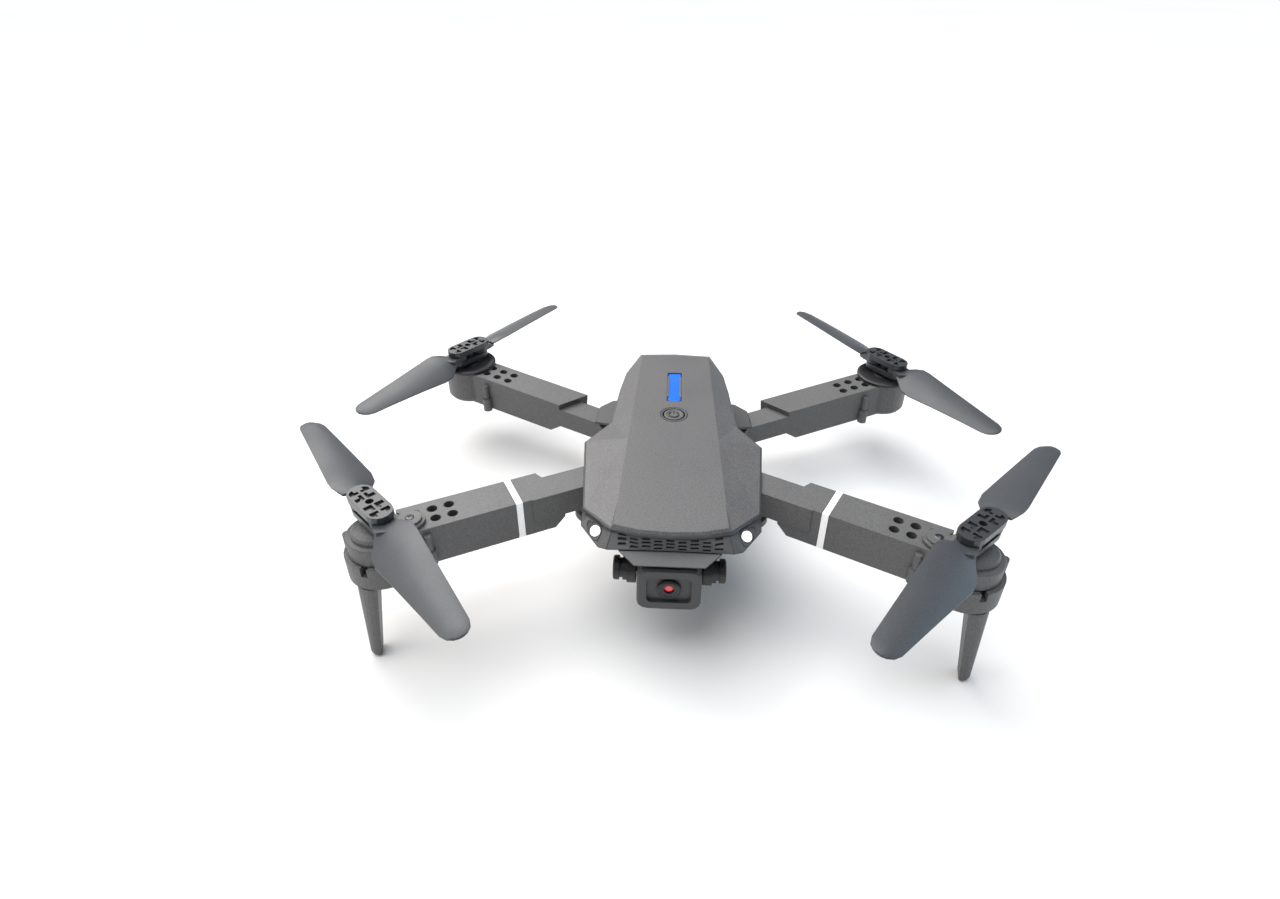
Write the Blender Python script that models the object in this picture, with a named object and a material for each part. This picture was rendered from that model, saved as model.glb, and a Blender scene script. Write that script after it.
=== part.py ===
"""Foldable quadcopter drone, modelled in millimetres and written out in metres.

X runs to the drone's left-hand side as seen from its nose, the nose points to -Y, and Z is up.
The ground is z = 0 and the two front feet and the tail skids stand on it.
Everything on the +X side is modelled once and mirrored to the -X side.
"""

from math import cos, sin, tan, pi, radians, sqrt, atan2

import bmesh
import bpy
from mathutils import Matrix, Vector

# ---------------------------------------------------------------- driving dimensions (mm, degrees)
MM = 0.001
GAP = 0.3                     # clearance left between seated pieces

BALANCE = 68.6                # from the front hub line back to the middle of the bounding box
FRONT_HUB = Vector((95.0, -BALANCE, 58.0))           # top centre of the front propeller hub, +X side
REAR_HUB = Vector((96.5, 131.5 - BALANCE, 46.7))
FRONT_ARM_AZIMUTH = -28.3     # direction from body to pod, seen from above
REAR_ARM_AZIMUTH = 22.0
REAR_ARM_SLOPE = 6.0          # the rear arms rise towards their pods
FRONT_ARM_OFFSET = -1.6       # sideways from the hub axis to the middle of the arm, + towards the nose
REAR_ARM_OFFSET = 1.4

BEAM_WIDTH = 14.4
BEAM_HEIGHT = 14.8
BEAM_TOP = -12.5              # front beam, below its hub top
REAR_BEAM_TOP = -8.85
NECK_BACK_INSET = 3.4         # the neck is this much narrower than the beam, on its tail side
HOLE_DEPTH = 9.0
HOLE_RADIUS = 1.75
HOLE_PITCH = (5.7, 5.3)       # along and across the arm
HOLES_FROM_HUB = 18.8

POD_RADIUS = 11.6
REAR_POD_RADIUS = 11.3
REAR_POD_TOP = -10.0
REAR_POD_LOW = -24.5
POD_CAVITY_RADIUS = 10.0
POD_FLOOR = 1.2
GEAR_TEETH = 32
PINION_TEETH = 8
GEAR_MODULE = 0.54
GEAR_THICKNESS = 1.5
MOTOR_RADIUS = 3.5
GEAR_CENTRES = GEAR_MODULE * (GEAR_TEETH + PINION_TEETH) / 2
SHAFT_RADIUS = 1.0

BLADE_RADIUS = 64.6           # tip radius from the hub axis
PIN_RADIUS_POS = 6.2          # blade pin, out from the hub axis
PLATE_LENGTH = 21.0
PLATE_WIDTH = 8.6
FRONT_PLATE_AZIMUTH = 43.2
REAR_PLATE_AZIMUTH = -52.6
BLADE_SWEEP = 11.5            # blades trail their clamp plate by this angle at rest

FRONT_HINGE = Vector((28.5, 35.6 - BALANCE))        # vertical hinge axis of the front arm
REAR_HINGE = Vector((27.5, 100.2 - BALANCE, 23.8))    # a point on the level hinge axis of the rear arm
REAR_HINGE_AZIMUTH = (REAR_ARM_AZIMUTH - 90.0) / 2     # folds the arm to point at the nose
KNUCKLE_RADIUS = 4.6

PLATEAU_Z = 50.4
RIM_Z = 46.9
RIM_HEIGHT = 1.0
COVER_WALL = 1.4
CORE_HALF_WIDTH = 17.8
BELLY_Z = 14.0

CAMERA_AXIS = Vector((0.0, 2.5 - BALANCE, 31.7))
CAMERA_WIDTH = 21.0
CAMERA_HEIGHT = 17.6

BUTTON_POS = Vector((0.0, 69.8 - BALANCE, 50.2))
BUTTON_TRAVEL = 0.6

COLOURS = {
    "shell": ((0.135, 0.137, 0.140), 0.55, 0.0),
    "arm": ((0.115, 0.117, 0.118), 0.50, 0.0),
    "blade": ((0.085, 0.09, 0.10), 0.38, 0.0),
    "dark": ((0.02, 0.02, 0.022), 0.45, 0.0),
    "white": ((0.85, 0.85, 0.85), 0.35, 0.0),
    "blue": ((0.02, 0.12, 0.75), 0.25, 0.0),
    "lens": ((0.01, 0.01, 0.012), 0.08, 0.0),
    "red": ((0.75, 0.12, 0.12), 0.15, 0.0),
    "metal": ((0.55, 0.55, 0.56), 0.3, 1.0),
    "board": ((0.02, 0.18, 0.08), 0.5, 0.0),
    "gear": ((0.75, 0.74, 0.70), 0.45, 0.0),
    "battery": ((0.05, 0.05, 0.055), 0.5, 0.0),
}


# ---------------------------------------------------------------- small tools
def material(kind, name):
    """A Principled material of the part's own."""
    colour, roughness, metallic = COLOURS[kind]
    mat = bpy.data.materials.new(name)
    mat.use_nodes = True
    shader = mat.node_tree.nodes["Principled BSDF"]
    shader.inputs["Base Color"].default_value = (*colour, 1.0)
    shader.inputs["Roughness"].default_value = roughness
    shader.inputs["Metallic"].default_value = metallic
    return mat


def node(name, bm, kind=None):
    """An object in millimetres from a bmesh, with its faces pointing out."""
    bmesh.ops.remove_doubles(bm, verts=bm.verts, dist=1e-4)
    bmesh.ops.recalc_face_normals(bm, faces=bm.faces)
    mesh = bpy.data.meshes.new(name)
    bm.to_mesh(mesh)
    bm.free()
    obj = bpy.data.objects.new(name, mesh)
    bpy.context.collection.objects.link(obj)
    if kind:
        mesh.materials.append(material(kind, name))
    return obj


def loft(rings, closed=False):
    """Skin through rings of points; the ends are capped unless the rings close on themselves."""
    bm = bmesh.new()
    loops = [[bm.verts.new(p) for p in ring] for ring in rings]
    count = len(loops[0])
    pairs = list(zip(loops, loops[1:]))
    if closed:
        pairs.append((loops[-1], loops[0]))
    for low, high in pairs:
        for i in range(count):
            j = (i + 1) % count
            bm.faces.new((low[i], low[j], high[j], high[i]))
    if not closed:
        bm.faces.new(reversed(loops[0]))
        bm.faces.new(loops[-1])
    return bm


def prism(outline, low, high):
    """A plan outline extruded from z = low to z = high."""
    return loft([[Vector((x, y, z)) for x, y in outline] for z in (low, high)])


def circle(radius, count=24, centre=(0.0, 0.0), start=0.0):
    return [
        (centre[0] + radius * cos(start + 2 * pi * i / count),
         centre[1] + radius * sin(start + 2 * pi * i / count))
        for i in range(count)
    ]


def cylinder(radius, low, high, centre=(0.0, 0.0), count=24):
    return prism(circle(radius, count, centre), low, high)


def turned(profile, count=32):
    """A closed profile of (radius, z) points turned about Z."""
    rings = []
    for i in range(count):
        a = 2 * pi * i / count
        rings.append([Vector((r * cos(a), r * sin(a), z)) for r, z in profile])
    return loft(rings, closed=True)


def box(low, high):
    x0, y0, z0 = low
    x1, y1, z1 = high
    return prism([(x0, y0), (x1, y0), (x1, y1), (x0, y1)], z0, z1)


def obround(length, width, count=8):
    """A plan outline with two straight sides and round ends, long along X."""
    r = width / 2
    half = length / 2 - r
    right = [(half + r * cos(a), r * sin(a)) for a in arc(-90, 90, count)]
    left = [(-half + r * cos(a), r * sin(a)) for a in arc(90, 270, count)]
    return right + left


def arc(start, end, count):
    """Angles in radians from start to end degrees."""
    return [radians(start + (end - start) * i / (count - 1)) for i in range(count)]


def rounded_rectangle(width, height, radius, count=4):
    corners = [(1, 1, 0), (-1, 1, 90), (-1, -1, 180), (1, -1, 270)]
    return [
        (sx * (width / 2 - radius) + radius * cos(a), sy * (height / 2 - radius) + radius * sin(a))
        for sx, sy, start in corners
        for a in arc(start, start + 90, count)
    ]


def moved(bm, matrix):
    bmesh.ops.transform(bm, matrix=matrix, verts=bm.verts)
    return bm


def joined(*parts):
    """Several bmeshes in one, for a cutter or a union of pieces that do not touch."""
    whole = bmesh.new()
    for bm in parts:
        mesh = bpy.data.meshes.new("piece")
        bmesh.ops.recalc_face_normals(bm, faces=bm.faces)
        bm.to_mesh(mesh)
        bm.free()
        whole.from_mesh(mesh)
        bpy.data.meshes.remove(mesh)
    return whole


def baked(obj):
    """Replace an object's mesh by what its modifiers make of it."""
    graph = bpy.context.evaluated_depsgraph_get()
    mesh = bpy.data.meshes.new_from_object(obj.evaluated_get(graph))
    obj.modifiers.clear()
    obj.data = mesh
    return obj


def boolean(obj, bm, operation):
    """Cut or join a bmesh, then drop the helper object."""
    tool = node("tool", bm)
    tool.hide_render = True
    tool.display_type = "WIRE"
    modifier = obj.modifiers.new("boolean", "BOOLEAN")
    modifier.operation = operation
    modifier.solver = "EXACT"
    modifier.object = tool
    baked(obj)
    bpy.data.objects.remove(tool)
    return obj


def cut(obj, *tools):
    for bm in tools:
        boolean(obj, bm, "DIFFERENCE")
    return obj


def weld(obj, *tools):
    for bm in tools:
        boolean(obj, bm, "UNION")
    return obj


def cleaned(obj):
    """Merge what the Booleans left lying on the same point or in the same plane."""
    bm = bmesh.new()
    bm.from_mesh(obj.data)
    bmesh.ops.remove_doubles(bm, verts=bm.verts, dist=0.002)
    bmesh.ops.dissolve_limit(bm, angle_limit=radians(0.3), verts=bm.verts, edges=bm.edges)
    bmesh.ops.triangulate(bm, faces=bm.faces)
    bm.to_mesh(obj.data)
    bm.free()
    return obj


def placed(obj, matrix):
    obj.data.transform(matrix)
    return obj


def smooth(obj, angle=32):
    obj.data.shade_smooth()
    obj.data.set_sharp_from_angle(angle=radians(angle))
    return obj


def mirrored(obj, name):
    """The same piece on the other side of the drone."""
    mesh = obj.data.copy()
    mesh.transform(Matrix.Scale(-1, 4, (1, 0, 0)))
    mesh.flip_normals()
    twin = bpy.data.objects.new(name, mesh)
    bpy.context.collection.objects.link(twin)
    if obj.data.materials:
        mesh.materials.clear()
        mat = obj.data.materials[0].copy()
        mat.name = name
        mesh.materials.append(mat)
    return twin


def joint(name, point, parent=None):
    """An empty on a joint's axis, in metres."""
    empty = bpy.data.objects.new(name, None)
    empty.empty_display_size = 0.01
    bpy.context.collection.objects.link(empty)
    empty.location = Vector(point) * MM
    if parent:
        empty.parent = parent
        empty.location = Vector(point) * MM - world_point(parent)
    return empty


def world_point(obj):
    point = obj.location.copy()
    while obj.parent:
        obj = obj.parent
        point += obj.location
    return point


def hang(pieces, empty):
    """Scale pieces to metres and hang them on a joint's empty, with their origin on its axis."""
    at = world_point(empty)
    for obj in pieces:
        obj.data.transform(Matrix.Translation(-at) @ Matrix.Scale(MM, 4))
        obj.parent = empty
        smooth(obj)


# ---------------------------------------------------------------- frames of the arms
def arm_frame(hub, azimuth, slope, offset):
    """Local x runs from the hub towards the body along the arm, local z up, origin at the hub top."""
    turn = Matrix.Rotation(radians(azimuth + 180.0), 4, "Z")
    lean = Matrix.Rotation(radians(slope), 4, "Y")
    return Matrix.Translation(hub) @ turn @ Matrix.Translation((0, offset, 0)) @ lean


FRONT_FRAME = arm_frame(FRONT_HUB, FRONT_ARM_AZIMUTH, 0.0, FRONT_ARM_OFFSET)
REAR_FRAME = arm_frame(REAR_HUB, REAR_ARM_AZIMUTH, REAR_ARM_SLOPE, REAR_ARM_OFFSET)


def in_frame(frame, point):
    """A world point in an arm's local frame."""
    return frame.inverted() @ Vector(point)


# ---------------------------------------------------------------- gears
def gear_outline(teeth, backlash=0.16, steps=2):
    """Plan outline of a spur gear with straight-flanked stub teeth."""
    pitch = GEAR_MODULE * teeth / 2
    tip = pitch + 0.75 * GEAR_MODULE
    root = pitch - 1.05 * GEAR_MODULE
    half = (pi * GEAR_MODULE / 2 - backlash) / 2
    outline = []
    for i in range(teeth):
        middle = 2 * pi * i / teeth
        for side in (-1, 1):
            levels = [root + (tip - root) * s / (steps - 1) for s in range(steps)]
            if side > 0:
                levels.reverse()
            for r in levels:
                width = half - (r - pitch) * tan(radians(20.0))
                a = middle + side * width / r
                outline.append((r * cos(a), r * sin(a)))
    return outline


# ---------------------------------------------------------------- propeller
def blade_edges(r):
    """Leading and trailing offsets of the blade outline at radius r from the hub axis."""
    lead_root, lead_full = 4.0, 7.4
    trail_root, trail_full, trail_tip = -3.8, -8.0, -0.6
    t = min(max((r - 10.0) / 8.0, 0.0), 1.0)
    lead = lead_root + (lead_full - lead_root) * sin(t * pi / 2)
    s = min(max((r - 10.0) / 12.0, 0.0), 1.0)
    trail = trail_root + (trail_full - trail_root) * (3 * s * s - 2 * s ** 3)
    if r > 22.0:
        trail = trail_full + (trail_tip - trail_full) * (r - 22.0) / (BLADE_RADIUS - 22.0)
    corner = 4.2
    over = r - (BLADE_RADIUS - corner)
    if over > 0:
        shrink = corner - sqrt(max(corner ** 2 - over ** 2, 0.0))
        lead -= shrink * 0.93
        trail += shrink * 0.93
    return lead, trail


def blade_mesh():
    """A twisted, cambered blade with its thick root, pin at the origin, running along +X."""
    stations = [11.1, 12.8, 15.5, 19.0, 24.0, 36.0, 50.0, 60.4, 62.8, 64.1, BLADE_RADIUS - 0.05]
    rings = []
    for r in stations:
        lead, trail = blade_edges(r)
        share = (r - 10.0) / (BLADE_RADIUS - 10.0)
        pitch = radians(21.0 - 12.0 * share)
        if r < 14.0:
            pitch *= 0.55 + 0.45 * (r - 10.0) / 4.0
        chord = lead - trail
        thick = (1.5 - 0.75 * min(share * 2.4, 1.0))
        if r > 63.5:
            thick *= 0.8
        top, bottom = [], []
        for u in (0.0, 0.15, 0.45, 0.8, 1.0):
            y = trail + chord * u
            camber = 0.075 * chord * sin(pi * u)
            half = thick / 2 * (0.42 + 0.58 * sin(pi * min(max(u, 0.0), 1.0)) ** 0.6)
            z = camber + y * tan(pitch) - 0.9 * share
            top.append(Vector((r - PIN_RADIUS_POS, y, z + half)))
            bottom.append(Vector((r - PIN_RADIUS_POS, y, z - half)))
        rings.append(top + bottom[::-1])
    wing = loft(rings)
    eye = 3.9
    reach = 12.0
    root = [(eye * cos(a), eye * sin(a)) for a in arc(62, 298, 12)]
    tab = root + [(3.4, -3.8), (6.6, -3.6), (reach - 3.4, 0.0), (6.6, 3.6), (3.4, 3.8)]
    return wing, prism(tab, -1.05, 1.05), cylinder(1.45, -3.0, 3.0, count=16)


def make_blade(name, hub, azimuth, plate_azimuth, flip):
    """flip = -1 makes the blade of a propeller that turns the other way."""
    wing, root, hole = blade_mesh()
    if flip < 0:
        for bm in (wing, root, hole):
            moved(bm, Matrix.Scale(-1, 4, (0, 1, 0)))
    blade = node(name, wing, "blade")
    weld(blade, root)
    cut(blade, hole)
    cleaned(blade)
    pin = pin_point(hub, plate_azimuth)
    placed(blade, Matrix.Translation(pin + Vector((0, 0, -3.75))) @ Matrix.Rotation(radians(azimuth), 4, "Z"))
    return blade


def pin_point(hub, azimuth):
    a = radians(azimuth)
    return hub + PIN_RADIUS_POS * Vector((cos(a), sin(a), 0.0))


def hub_upper(name):
    """Upper clamp plate with its pattern of pockets round a cross of ribs."""
    bottom, top = -2.45, 0.0
    plate = node(name, prism(obround(PLATE_LENGTH, PLATE_WIDTH), bottom, top), "dark")
    rib, inner = 0.45, 1.3
    pocket_half = PLATE_WIDTH / 2 - 1.0
    pockets = []
    for sx in (-1, 1):
        for sy in (-1, 1):
            near = [(1.9, rib), (5.0, rib), (5.0, 1.5), (3.6, 1.5), (3.6, pocket_half), (1.9, pocket_half)]
            far = [(5.9, rib), (7.1, rib), (7.1, 1.6), (8.6, 1.6), (8.2, 2.6), (7.2, pocket_half), (5.9, pocket_half)]
            for shape in (near, far):
                pockets.append(prism([(sx * x, sy * y) for x, y in shape][:: sx * sy], top - 0.9, top + 1))
    pockets.append(cylinder(inner, bottom - 1, top + 1, count=16))
    cut(plate, joined(*pockets))
    return cleaned(plate)


def hub_lower(name):
    """Lower clamp plate with the two blade pins and the post on the shaft."""
    low, high = -7.3, -5.15
    plate = node(name, prism(obround(PLATE_LENGTH - 1.4, PLATE_WIDTH - 0.8), low, high), "dark")
    weld(plate, joined(*[cylinder(1.2, low + 1, -2.45 - GAP, (s * PIN_RADIUS_POS, 0), 14) for s in (-1, 1)]))
    weld(plate, cylinder(1.9, low + 1, -2.45 - GAP, count=16))
    weld(plate, cylinder(2.3, low - 0.9, low + 0.5, count=18))
    cut(plate, cylinder(SHAFT_RADIUS + 0.05, low - 3, -3.6, count=14))
    return cleaned(plate)


def propeller(side_name, hub, arm_azimuth, plate_azimuth, gear_z, spin):
    """Main gear with its shaft, two clamp plates and two blades, about a vertical axis through the hub."""
    turn = Matrix.Translation(hub) @ Matrix.Rotation(radians(plate_azimuth), 4, "Z")
    upper = placed(hub_upper(f"{side_name}_hub_plate_upper"), turn)
    lower = placed(hub_lower(f"{side_name}_hub_plate_lower"), turn)
    gear = node(f"{side_name}_main_gear", prism(gear_outline(GEAR_TEETH), gear_z, gear_z + GEAR_THICKNESS), "gear")
    weld(gear, cylinder(2.6, gear_z + 0.5, gear_z + 4.0, count=18))
    weld(gear, cylinder(SHAFT_RADIUS, gear_z - 0.7, -3.9, count=14))
    cleaned(gear)
    placed(gear, Matrix.Translation(hub) @ Matrix.Rotation(radians(arm_azimuth + 180.0), 4, "Z"))
    blades = []
    for letter, half_turn in (("a", 0.0), ("b", 180.0)):
        plate = plate_azimuth + half_turn
        blades.append(make_blade(f"{side_name}_blade_{letter}", hub, plate - spin * BLADE_SWEEP, plate, spin))
    return [gear, lower, upper], blades


# ---------------------------------------------------------------- arms
def beam_with_neck(name, top, end_back, end_nose, neck_drop, neck_height, neck_ends):
    """Box beam in the arm frame, with the lower, narrower neck that runs on to the hinge.

    end_back and end_nose are where the full height ends on the two side faces, and neck_ends
    are the two points where the neck's side faces end.
    """
    w = BEAM_WIDTH / 2
    low = top - BEAM_HEIGHT
    neck_top, neck_low = top - neck_drop, top - neck_drop - neck_height
    start = 7.5
    beam = node(name, prism([(start, -w), (end_back, -w), (end_nose, w), (start, w)], low, top), "arm")
    chamfer = []
    for y, end in ((-w, end_back), (w, end_nose)):
        over = y * 0.25
        slant = over * (end_nose - end_back) / (2 * w)
        end += slant
        chamfer.append([Vector((x, y + over, z)) for x, z in (
            (end - 4.6, low - 0.8), (end + 9.0, low - 0.8), (end + 9.0, neck_low), (end + 1.2, neck_low))])
    cut(beam, loft(chamfer))
    (x0, y0), (x1, y1) = neck_ends
    inside = min(end_back, end_nose) - 6.0
    weld(beam, prism([(inside, y0), (x0, y0), (x1, y1), (inside, y1)], neck_low, neck_top))
    return beam


def hole_tools(height):
    tools = []
    for i in (-1, 0, 1):
        for j in (-0.5, 0.5):
            centre = (HOLES_FROM_HUB + i * HOLE_PITCH[0], j * HOLE_PITCH[1])
            tools.append(cylinder(HOLE_RADIUS, height - HOLE_DEPTH, height + 2, centre, 16))
    return joined(*tools)


def front_arm():
    """Front arm: beam, neck, hinge barrel and the cup that carries the gear train."""
    w = BEAM_WIDTH / 2
    hinge = in_frame(FRONT_FRAME, (FRONT_HINGE.x, FRONT_HINGE.y, FRONT_HUB.z))
    base = BEAM_TOP - BEAM_HEIGHT
    ring_top = -18.9
    hub = (0.0, -FRONT_ARM_OFFSET)
    bay = (GEAR_CENTRES, -FRONT_ARM_OFFSET)
    neck_ends = ((hinge.x, NECK_BACK_INSET - w), (hinge.x - 1.0, w + 0.4))
    arm = beam_with_neck("front_left_arm", BEAM_TOP, 56.8, 62.4, 0.0, 9.7, neck_ends)
    weld(arm, cylinder(5.8, base, BEAM_TOP, hinge[:2], 28))
    weld(arm, cylinder(2.0, base - 2.2, base + 1.0, hinge[:2], 18))
    weld(arm, cylinder(POD_RADIUS, base, ring_top, hub, 36))
    cut(arm, cylinder(10.4, ring_top, 2.0, hub, 36))
    cut(arm, cylinder(POD_CAVITY_RADIUS, base + POD_FLOOR, 2.0, hub, 36))
    cut(arm, cylinder(MOTOR_RADIUS + 0.35, base + POD_FLOOR, 2.0, bay, 24))
    cut(arm, cylinder(SHAFT_RADIUS + 0.06, base + 0.5, 0.0, hub, 14))
    cut(arm, hole_tools(BEAM_TOP))
    cut(arm, frame_ring(45.0, 47.6, 0.7, 2.0))
    boss_y = w + 0.9
    weld(arm, cylinder(1.9, base + 1.0, base + 6.5, (14.6, boss_y), 14))
    weld(arm, cylinder(1.25, base + 6.0, BEAM_TOP - 2.0, (14.6, boss_y), 14))
    notch = moved(box((9.0, -1.1, ring_top - 3.2), (13.0, 1.1, ring_top + 1.0)),
                  Matrix.Translation((hub[0], hub[1], 0)) @ Matrix.Rotation(radians(128.0), 4, "Z"))
    cut(arm, notch)
    cleaned(arm)
    return placed(arm, FRONT_FRAME)


def frame_ring(start, end, inside, outside):
    """A rectangular sleeve round the beam, from inside the beam's skin to outside it."""
    w, top = BEAM_WIDTH / 2, BEAM_TOP
    low = top - BEAM_HEIGHT
    rings = []
    for x, grow in ((start, outside), (end, outside), (end, -inside), (start, -inside)):
        rings.append([Vector((x, sy * (w + grow), z)) for sy, z in
                      ((-1, low - grow), (1, low - grow), (1, top + grow), (-1, top + grow))])
    return loft(rings, closed=True)


def arm_band():
    """White sleeve in the groove of the front arm."""
    band = node("front_left_arm_band", frame_ring(45.0 + 0.15, 47.6 - 0.15, 0.4, 0.05), "white")
    cleaned(band)
    return placed(band, FRONT_FRAME)


def landing_leg():
    """Tapered half-round leg under the front pod, flat on its inboard side."""
    base = FRONT_HUB.z + BEAM_TOP - BEAM_HEIGHT
    rings = []
    for z, r, out, back in ((base - GAP, 5.5, 1.5, 6.2), (base - 1.5, 5.4, 1.7, 6.4), (1.4, 3.05, 4.0, 9.7),
                            (0.4, 2.7, 4.0, 9.7), (0.0, 2.1, 4.0, 9.7)):
        centre = Vector((FRONT_HUB.x + out, FRONT_HUB.y - back, z))
        round_side = [Vector((r * cos(a), r * sin(a), 0)) for a in arc(-105, 105, 13)]
        turn = Matrix.Rotation(radians(-13.0), 4, "Z")
        rings.append([centre + turn @ p for p in round_side])
    return cleaned(node("front_left_landing_leg", loft(rings), "arm"))


def front_gear_cover():
    """Stepped cover over the front gear train: ring, roof and domed disc, with the motor cap beside it."""
    ring_low, roof = -18.9 + GAP, -12.3
    profile = [(10.05, ring_low), (10.05, roof - 0.4), (9.65, roof), (8.1, roof), (8.1, roof + 1.2),
               (7.4, roof + 2.0), (5.0, roof + 2.6), (2.9, roof + 2.8), (1.25, roof + 2.8), (1.25, roof - 1.2),
               (8.8, roof - 1.2), (8.8, ring_low)]
    cover = node("front_left_gear_cover", turned(profile, 40), "arm")
    for angle in (205, 250):
        a = radians(angle)
        weld(cover, cylinder(1.5, ring_low, roof - 1.0, (9.9 * cos(a), 9.9 * sin(a)), 14))
    cap = joined(cylinder(4.9, BEAM_TOP + GAP, BEAM_TOP + 1.3, (GEAR_CENTRES, 0), 28))
    weld(cover, cap)
    weld(cover, cylinder(3.9, BEAM_TOP + 1.0, BEAM_TOP + 2.2, (GEAR_CENTRES, 0), 28))
    cut(cover, cylinder(MOTOR_RADIUS + 0.3, ring_low - 1, roof - 1.4, (GEAR_CENTRES, 0), 24))
    cleaned(cover)
    turn = Matrix.Rotation(radians(FRONT_ARM_AZIMUTH + 180.0), 4, "Z")
    return placed(cover, Matrix.Translation(FRONT_HUB) @ turn)


def rear_arm():
    """Rear arm: deep pod cup, sloping beam, neck and the knuckle that turns on the hull."""
    w = BEAM_WIDTH / 2
    hinge = in_frame(REAR_FRAME, REAR_HINGE)
    a = radians(REAR_HINGE_AZIMUTH - REAR_ARM_AZIMUTH - 180.0)
    neck_ends = [(hinge.x + (y - hinge.y) * cos(a) / sin(a), y) for y in (NECK_BACK_INSET - w, w)]
    arm = beam_with_neck("rear_left_arm", REAR_BEAM_TOP, 60.8, 54.1, 2.3, 8.6, neck_ends)
    cut(arm, hole_tools(REAR_BEAM_TOP))
    placed(arm, REAR_FRAME)
    base, top = REAR_HUB.z + REAR_POD_LOW, REAR_HUB.z + REAR_POD_TOP
    turn = Matrix.Translation(REAR_HUB) @ Matrix.Rotation(radians(REAR_ARM_AZIMUTH + 180.0), 4, "Z")
    centre = REAR_HUB[:2]
    bay = (turn @ Vector((GEAR_CENTRES, 0, 0)))[:2]
    boss = (turn @ Vector((14.6, w + REAR_ARM_OFFSET + 0.9, 0)))[:2]
    cup = [[Vector((x, y, z)) for x, y in circle(r, 36, centre)]
           for z, r in ((base, REAR_POD_RADIUS - 1.0), (base + 1.4, REAR_POD_RADIUS), (top, REAR_POD_RADIUS))]
    weld(arm, loft(cup))
    cut(arm, cylinder(12.2, top, top + 12, centre, 36))
    cut(arm, cylinder(POD_CAVITY_RADIUS, base + POD_FLOOR, top + 2, centre, 36))
    cut(arm, cylinder(MOTOR_RADIUS + 0.35, base + POD_FLOOR, top - 1.2, bay, 24))
    cut(arm, cylinder(SHAFT_RADIUS + 0.06, base + 0.5, top, centre, 14))
    weld(arm, cylinder(2.0, base - 1.6, base + 4.4, boss, 14))
    weld(arm, cylinder(1.3, base + 3.4, top - 3.4, boss, 14))
    half = (BEAM_WIDTH - NECK_BACK_INSET) / 2 / sin(a)
    middle = (NECK_BACK_INSET / 2 - hinge.y) / sin(a)
    weld(arm, along_hinge(cylinder(KNUCKLE_RADIUS, middle - half, middle + half, count=28)))
    weld(arm, along_hinge(cylinder(1.6, middle - half - 4.0, middle - half + 1.0, count=16)))
    return cleaned(arm)


def along_hinge(bm):
    """Lay a piece that stands on Z along the rear hinge axis."""
    a = radians(REAR_HINGE_AZIMUTH)
    turn = Vector((cos(a), sin(a), 0)).to_track_quat("Z", "Y").to_matrix().to_4x4()
    return moved(bm, Matrix.Translation(REAR_HINGE) @ turn)


def rear_gear_cover():
    """Large thin disc over the rear gear train, with a low dome round the shaft."""
    low = REAR_POD_TOP + GAP
    profile = [(11.9, low), (11.9, low + 0.9), (11.3, low + 1.4), (9.6, low + 1.4), (9.2, low + 0.7),
               (4.6, low + 0.7), (3.6, low + 1.1), (1.25, low + 1.1), (1.25, low - 0.6), (9.6, low - 0.6),
               (9.6, low)]
    cover = node("rear_left_gear_cover", turned(profile, 40), "dark")
    cleaned(cover)
    turn = Matrix.Rotation(radians(REAR_ARM_AZIMUTH + 180.0), 4, "Z")
    return placed(cover, Matrix.Translation(REAR_HUB) @ turn)


def drive(side_name, hub, azimuth, floor, roof):
    """Coreless motor and its pinion beside the main gear."""
    turn = Matrix.Translation(hub) @ Matrix.Rotation(radians(azimuth + 180.0), 4, "Z")
    gear_low = floor + POD_FLOOR + 0.6
    motor_low = gear_low + GEAR_THICKNESS + 0.8
    shift = Matrix.Translation((GEAR_CENTRES, 0, 0))
    motor = node(f"{side_name}_motor", cylinder(MOTOR_RADIUS, motor_low, roof, count=24), "metal")
    cut(motor, cylinder(0.6, motor_low - 1, motor_low + 3, count=10))
    cleaned(motor)
    tooth = pi / PINION_TEETH
    pinion = node(f"{side_name}_pinion", prism(gear_outline(PINION_TEETH), gear_low, gear_low + GEAR_THICKNESS), "metal")
    weld(pinion, cylinder(0.5, gear_low + 0.5, motor_low + 2.5, count=10))
    cleaned(pinion)
    placed(pinion, Matrix.Rotation(pi + tooth, 4, "Z"))
    for obj in (motor, pinion):
        placed(obj, turn @ shift)
    return motor, pinion, gear_low


# ---------------------------------------------------------------- hull
def hull_outline(points):
    """Mirror a right-hand outline, listed from nose to tail, into a closed loop."""
    right = [Vector(p) for p in points]
    left = [Vector((-p.x, p.y, p.z)) for p in reversed(right) if abs(p.x) > 1e-6]
    return right + left


def y_of(from_nose):
    """Length coordinate measured back from the front hub line."""
    return FRONT_HUB.y + from_nose


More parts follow.
